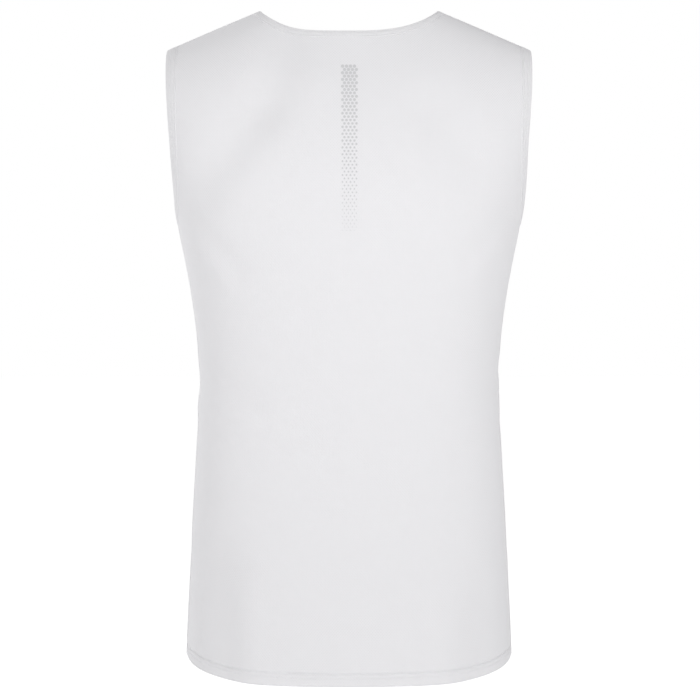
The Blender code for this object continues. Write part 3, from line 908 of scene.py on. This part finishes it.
hemThread = gathered(
    [hemRow(side, over, lift, facing) for side in sides
     for over, groove in zip(panelCloth["needleRows"], panelCloth["grooves"])
     for lift, facing in ((sewing["proud"] - groove, 1), (-panelCloth["hemThickness"] - groove, -1))])
hemStitches = makeStitches("hem_stitches", *hemThread)
onBand = binding["outerLift"] + binding["puff"] / 2 - binding["groove"] + sewing["proud"]
inBand = binding["innerLift"] - sewing["proud"]
neckStitches = makeStitches("neck_stitches", *gathered(
    [edgeRow(neckEdge, row, lift, 1) for row in binding["rows"]["neck"] for lift in (onBand, inBand)]))
for hand, flip in hands.items():
    rows = [edgeRow(armholeEdge, row, lift, flip) for row in binding["rows"]["armhole"]
            for lift in (onBand, inBand)]
    makeStitches("armhole_stitches_" + hand, *gathered(rows))
seams = []
for hand, flip in hands.items():
    seams += sideSeam(hand, flip) + shoulderSeam(hand, flip)
print("sewing: hem, bindings, side and shoulder seams")

# a printed strip of dots down the back, below the neck

printLook = {
    "colour": (0.60, 0.60, 0.615),
    "roughness": 0.6,
    "sheen": 0.0,
    "middle": 0.0005,               # sideways
    "top": -0.0580,
    "bottom": -0.2120,
    "columns": 4,
    "pitch": 0.0037,                # between dots of a row; every other row is set off by half
    "largest": 0.00165,             # radius at the top
    "smallest": 0.00045,
    "corners": 14,
    "film": (0.00010, -0.00012),    # its face over the cloth, and its underside in it
}


def makePrint():
    # staggered rows of round dots whose radius shrinks evenly from the top to the bottom
    look = printLook
    material, _ = newMaterial("print", look["colour"], look["roughness"], look["sheen"])
    rows = int((look["top"] - look["bottom"]) / (look["pitch"] * math.sqrt(3) / 2)) + 1
    down, column = np.meshgrid(np.arange(rows), np.arange(look["columns"]), indexing="ij")
    offset = column - (look["columns"] - 1) / 2 + (down % 2) * 0.5 - 0.25
    x = look["middle"] + offset * look["pitch"]
    height = look["top"] + (look["bottom"] - look["top"]) * down / (rows - 1)
    radius = look["largest"] + (look["smallest"] - look["largest"]) * down / (rows - 1)
    angle = np.linspace(0, 2 * np.pi, look["corners"], endpoint=False)
    rimX = (x[..., None] + radius[..., None] * np.cos(angle)).reshape(-1, look["corners"])
    rimZ = (height[..., None] + radius[..., None] * np.sin(angle)).reshape(-1, look["corners"])
    place = placeAt(turnAt(rimX, rimZ), rimZ, "back")
    points = np.stack([raised(place, lift) for lift in look["film"]], axis=1)
    index = np.arange(points[..., 0].size).reshape(points.shape[:3])
    top, under = index[:, 0], index[:, 1]
    rim = np.stack([under, np.roll(under, -1, axis=1), np.roll(top, -1, axis=1), top], axis=-1)
    faces = top.tolist() + under[:, ::-1].tolist() + rim.reshape(-1, 4).tolist()
    piece = newPiece("back_print", points, faces, material)
    piece.data.shade_flat()
    return piece


backPrint = makePrint()
print("print: dots down the back")

# floor, light and camera
studio = {
    "floorHeight": -1.20,
    "floorHalf": 14.0,
    "floorColour": (0.88, 0.88, 0.88),
    "floorRoughness": 0.9,
    "floorGlow": 0.60,              # far from the garment the floor brightens into the surround
    "floorFade": (0.3, 2.0),        # distances where the brightening starts and ends
    "surround": 0.455,              # light from all round
    "seen": 1.0,                    # brightness of the white surround in the picture
    "lampAim": (0.0, 0.0, -0.32),
}
lamps = {
    "columns": ("name", "place", "size", "power"),
    "rows": (
        ("front", (0.0, -3.4, 0.1), 1.8, 15.8),
        ("left", (-2.4, -2.6, 0.4), 1.8, 2.3),
        ("right", (2.4, -2.6, 0.4), 1.8, 9.8),
        ("top", (0.0, -2.0, 2.2), 1.8, 20.8),
        ("behindLeft", (-2.2, 2.6, 1.0), 1.4, 38.0),
        ("behindRight", (2.2, 2.6, 0.2), 1.8, 9.0),
    ),
}


def makeFloor():
    # a square sheet far wider than the view; its glow grows with the distance from the garment
    half = studio["floorHalf"]
    corner = np.array([(-half, -half), (half, -half), (half, half), (-half, half)])
    points = np.column_stack([corner, np.full(4, studio["floorHeight"])])
    data = bpy.data.meshes.new("floor")
    data.from_pydata(points.tolist(), [], [(0, 1, 2, 3)])
    material, shader = newMaterial("floorWhite", studio["floorColour"], studio["floorRoughness"], 0.0)
    place = addNode(material, "ShaderNodeTexCoord").outputs["Object"]
    level = addNode(material, "ShaderNodeVectorMath", {0: place, 1: (1, 1, 0)}, operation="MULTIPLY")
    away = addNode(material, "ShaderNodeVectorMath", {0: level.outputs["Vector"]}, operation="LENGTH")
    start, end = studio["floorFade"]
    glow = addNode(material, "ShaderNodeMapRange", {"Value": away.outputs["Value"], "From Min": start,
                                                    "From Max": end, "To Min": 0.0,
                                                    "To Max": studio["floorGlow"]},
                   interpolation_type="SMOOTHSTEP")
    shader.inputs["Emission Color"].default_value = (1, 1, 1, 1)
    material.node_tree.links.new(glow.outputs["Result"], shader.inputs["Emission Strength"])
    data.materials.append(material)
    floor = newObject("floor", data)


def makeLight():
    # white all round, and broad lamps before and behind
    world = bpy.data.worlds.new("surround")
    bpy.context.scene.world = world
    world.use_nodes = True
    nodes, links = world.node_tree.nodes, world.node_tree.links
    surround, seen = nodes["Background"], nodes.new("ShaderNodeBackground")
    for node, strength in ((surround, studio["surround"]), (seen, studio["seen"])):
        node.inputs["Color"].default_value = (1, 1, 1, 1)
        node.inputs["Strength"].default_value = strength
    path = nodes.new("ShaderNodeLightPath")
    mix = nodes.new("ShaderNodeMixShader")
    links.new(path.outputs["Is Camera Ray"], mix.inputs[0])
    links.new(surround.outputs[0], mix.inputs[1])
    links.new(seen.outputs[0], mix.inputs[2])
    links.new(mix.outputs[0], nodes["World Output"].inputs["Surface"])
    for row in lamps["rows"]:
        lamp = dict(zip(lamps["columns"], row))
        data = bpy.data.lights.new(lamp["name"], "AREA")
        data.shape = "DISK"
        data.size = lamp["size"]
        data.energy = lamp["power"]
        light = newObject(lamp["name"], data)
        light.location = lamp["place"]
        aim = Vector(studio["lampAim"]) - light.location
        light.rotation_euler = aim.to_track_quat("-Z", "Y").to_euler()


view = {"place": (0.001, -2.40, -0.21), "tilt": math.radians(2.83), "lens": 126.6}


def makeCamera():
    # behind the garment, level with its upper back and tilted down a little
    data = bpy.data.cameras.new("camera")
    data.lens = view["lens"]
    camera = newObject("camera", data)
    camera.location = view["place"]
    camera.rotation_euler = (quarter - view["tilt"], 0, 0)
    bpy.context.scene.camera = camera


makeFloor()
makeLight()
makeCamera()
bpy.context.scene.view_settings.view_transform = "Standard"
print("floor, light and camera")
